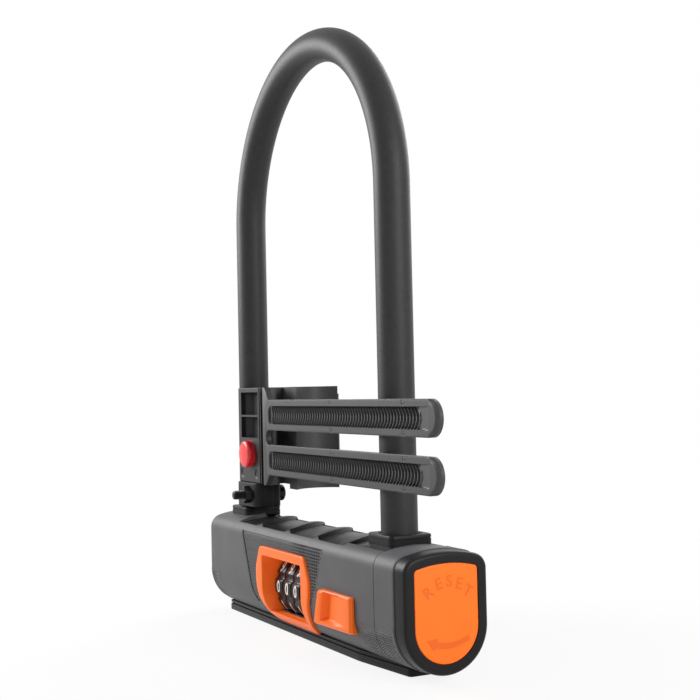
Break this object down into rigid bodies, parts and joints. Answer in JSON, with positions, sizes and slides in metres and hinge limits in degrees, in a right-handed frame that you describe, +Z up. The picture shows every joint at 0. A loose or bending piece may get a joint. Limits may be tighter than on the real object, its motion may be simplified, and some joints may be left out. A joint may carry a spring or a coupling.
{
  "type": "u lock",
  "caption": "Combination U lock: a coated U shackle in a crossbar with turning number dials, a slide button and a reset cap, with a strap-on carrier for a bicycle frame tube.",
  "frame": {"origin": "middle of the base rail's underside, halfway between the legs, on the surface that the lock stands on", "axes": "+Z up along the shackle's legs, +X along the crossbar towards the reset end, -Y towards the dials"},
  "size_m": [0.231, 0.0577, 0.294],
  "materials": {
    "coat_black": "soft matte coating over the shackle",
    "shell_grey": "fine matte moulded plastic",
    "shell_black": "satin black moulded plastic",
    "orange": "satin orange moulded plastic",
    "dial_black": "gloss black with white digits",
    "mount_grey": "matte glass-filled nylon",
    "button_red": "gloss red moulded plastic",
    "steel": "hardened steel, lightly oiled",
    "dark_steel": "black oxide fastener",
    "brass": "plain brass"
  },
  "bodies": {
    "crossbar": {"lock_tube": "steel", "body_sleeve": "shell_grey", "scale_cover": "shell_black", "base_rail": "shell_black", "rail_screws": "steel", "blind_plug": "shell_black", "end_housing": "shell_grey", "socket_left": "shell_black", "socket_right": "shell_black", "ferrule_left": "shell_black", "ferrule_right": "shell_black", "window_bezel": "orange", "detent_spring": "steel", "dial_spacers": "steel"},
    "dial_ring_1": {"dial_1": "dial_black", "code_cam_1": "brass"},
    "dial_ring_2": {"dial_2": "dial_black", "code_cam_2": "brass"},
    "dial_ring_3": {"dial_3": "dial_black", "code_cam_3": "brass"},
    "dial_ring_4": {"dial_4": "dial_black", "code_cam_4": "brass"},
    "lock_bar": {"spindle": "steel", "lock_plate_left": "steel", "lock_plate_right": "steel", "slider_arm": "steel", "slider_button": "orange"},
    "reset_knob": {"reset_cap": "shell_black", "reset_insert": "orange", "reset_shaft": "steel"},
    "reset_rod": {"reset_link": "brass"},
    "shackle": {"shackle_core": "steel", "shackle_coat": "coat_black", "clamp_collar": "shell_black", "clamp_bolt": "dark_steel", "clamp_nut": "dark_steel", "mount_block": "mount_grey", "button_spring": "steel"},
    "release": {"release_button": "button_red"},
    "frame_clip": {"frame_bracket": "mount_grey", "strap_pin": "steel"},
    "straps": {"strap_plate": "mount_grey"},
    "worm_upper": {"worm_screw_upper": "dark_steel"},
    "worm_lower": {"worm_screw_lower": "dark_steel"}
  },
  "joints": [
    {"name": "dial_1_spin", "type": "hinge", "parent": "crossbar", "child": "dial_ring_1", "pos_m": [-0.0147, 0, 0.023], "axis": [1, 0, 0], "continuous": true},
    {"name": "dial_2_spin", "type": "hinge", "parent": "crossbar", "child": "dial_ring_2", "pos_m": [-0.0049, 0, 0.023], "axis": [1, 0, 0], "continuous": true},
    {"name": "dial_3_spin", "type": "hinge", "parent": "crossbar", "child": "dial_ring_3", "pos_m": [0.0049, 0, 0.023], "axis": [1, 0, 0], "continuous": true},
    {"name": "dial_4_spin", "type": "hinge", "parent": "crossbar", "child": "dial_ring_4", "pos_m": [0.0147, 0, 0.023], "axis": [1, 0, 0], "continuous": true},
    {"name": "slide_to_lock", "type": "slide", "parent": "crossbar", "child": "lock_bar", "axis": [-1, 0, 0], "range_m": [0, 0.008]},
    {"name": "reset_turn", "type": "hinge", "parent": "crossbar", "child": "reset_knob", "pos_m": [0.108, 0, 0.023], "axis": [-1, 0, 0], "range_deg": [0, 90]},
    {"name": "reset_push", "type": "slide", "parent": "crossbar", "child": "reset_rod", "axis": [-1, 0, 0], "range_m": [0, 0.002]},
    {"name": "shackle_lift", "type": "slide", "parent": "crossbar", "child": "shackle", "axis": [0, 0, 1], "range_m": [0, 0.051]},
    {"name": "release_press", "type": "slide", "parent": "shackle", "child": "release", "axis": [0, 1, 0], "range_m": [0, 0.003], "stiffness_N_per_m": 400, "springref_m": -0.001, "deforming": ["button_spring"]},
    {"name": "clip_slide", "type": "slide", "parent": "shackle", "child": "frame_clip", "axis": [0, 0, 1], "range_m": [0, 0.046]},
    {"name": "strap_swing", "type": "hinge", "parent": "frame_clip", "child": "straps", "pos_m": [-0.039, -0.0064, 0.0956], "axis": [0, 0, 1], "range_deg": [-45, 0]},
    {"name": "worm_upper_turn", "type": "hinge", "parent": "frame_clip", "child": "worm_upper", "pos_m": [-0.055, 0.0288, 0.10652], "axis": [1, 0, 0], "continuous": true},
    {"name": "worm_lower_turn", "type": "hinge", "parent": "frame_clip", "child": "worm_lower", "pos_m": [-0.055, 0.0288, 0.08372], "axis": [1, 0, 0], "continuous": true}
  ],
  "couplings": [
    {"joint": "reset_push", "follows": "reset_turn", "m_per_rad": 0.0012731}
  ]
}
